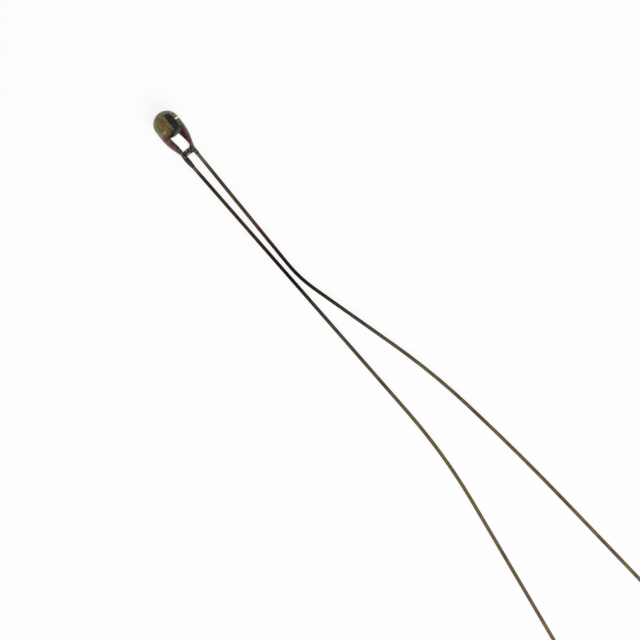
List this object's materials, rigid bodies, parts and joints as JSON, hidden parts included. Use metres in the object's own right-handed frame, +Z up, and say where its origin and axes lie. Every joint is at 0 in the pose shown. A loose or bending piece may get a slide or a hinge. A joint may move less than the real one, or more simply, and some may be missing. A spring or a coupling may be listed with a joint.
{
  "type": "bead thermistor",
  "caption": "Clear glass teardrop bead sealed round a dark oxide chip, with thin bent wire leads, for sensing temperature by its change of resistance.",
  "frame": {"origin": "on the ground under the middle of the part's box, as the part lies", "axes": "+X from the bead's tip towards the lead ends, +Y towards the first lead, +Z up"},
  "size_m": [0.0488, 0.0084, 0.0019],
  "materials": {
    "clear_glass": "clear, fire-polished",
    "oxide_chip": "matt black sintered oxide",
    "fired_silver": "fired silver film, dulled to khaki",
    "silver_paste": "fired conductive paste, grainy khaki",
    "lead_wire": "copper-clad nickel-iron wire, oxidised olive brown, brick red where the glass covers it"
  },
  "bodies": {
    "root": {"glass_bead": "clear_glass", "thermistor_chip": "oxide_chip", "electrode_a": "fired_silver", "electrode_b": "fired_silver", "bond_a": "silver_paste", "bond_b": "silver_paste", "lead_wire_a": "lead_wire", "lead_wire_b": "lead_wire"}
  },
  "joints": []
}
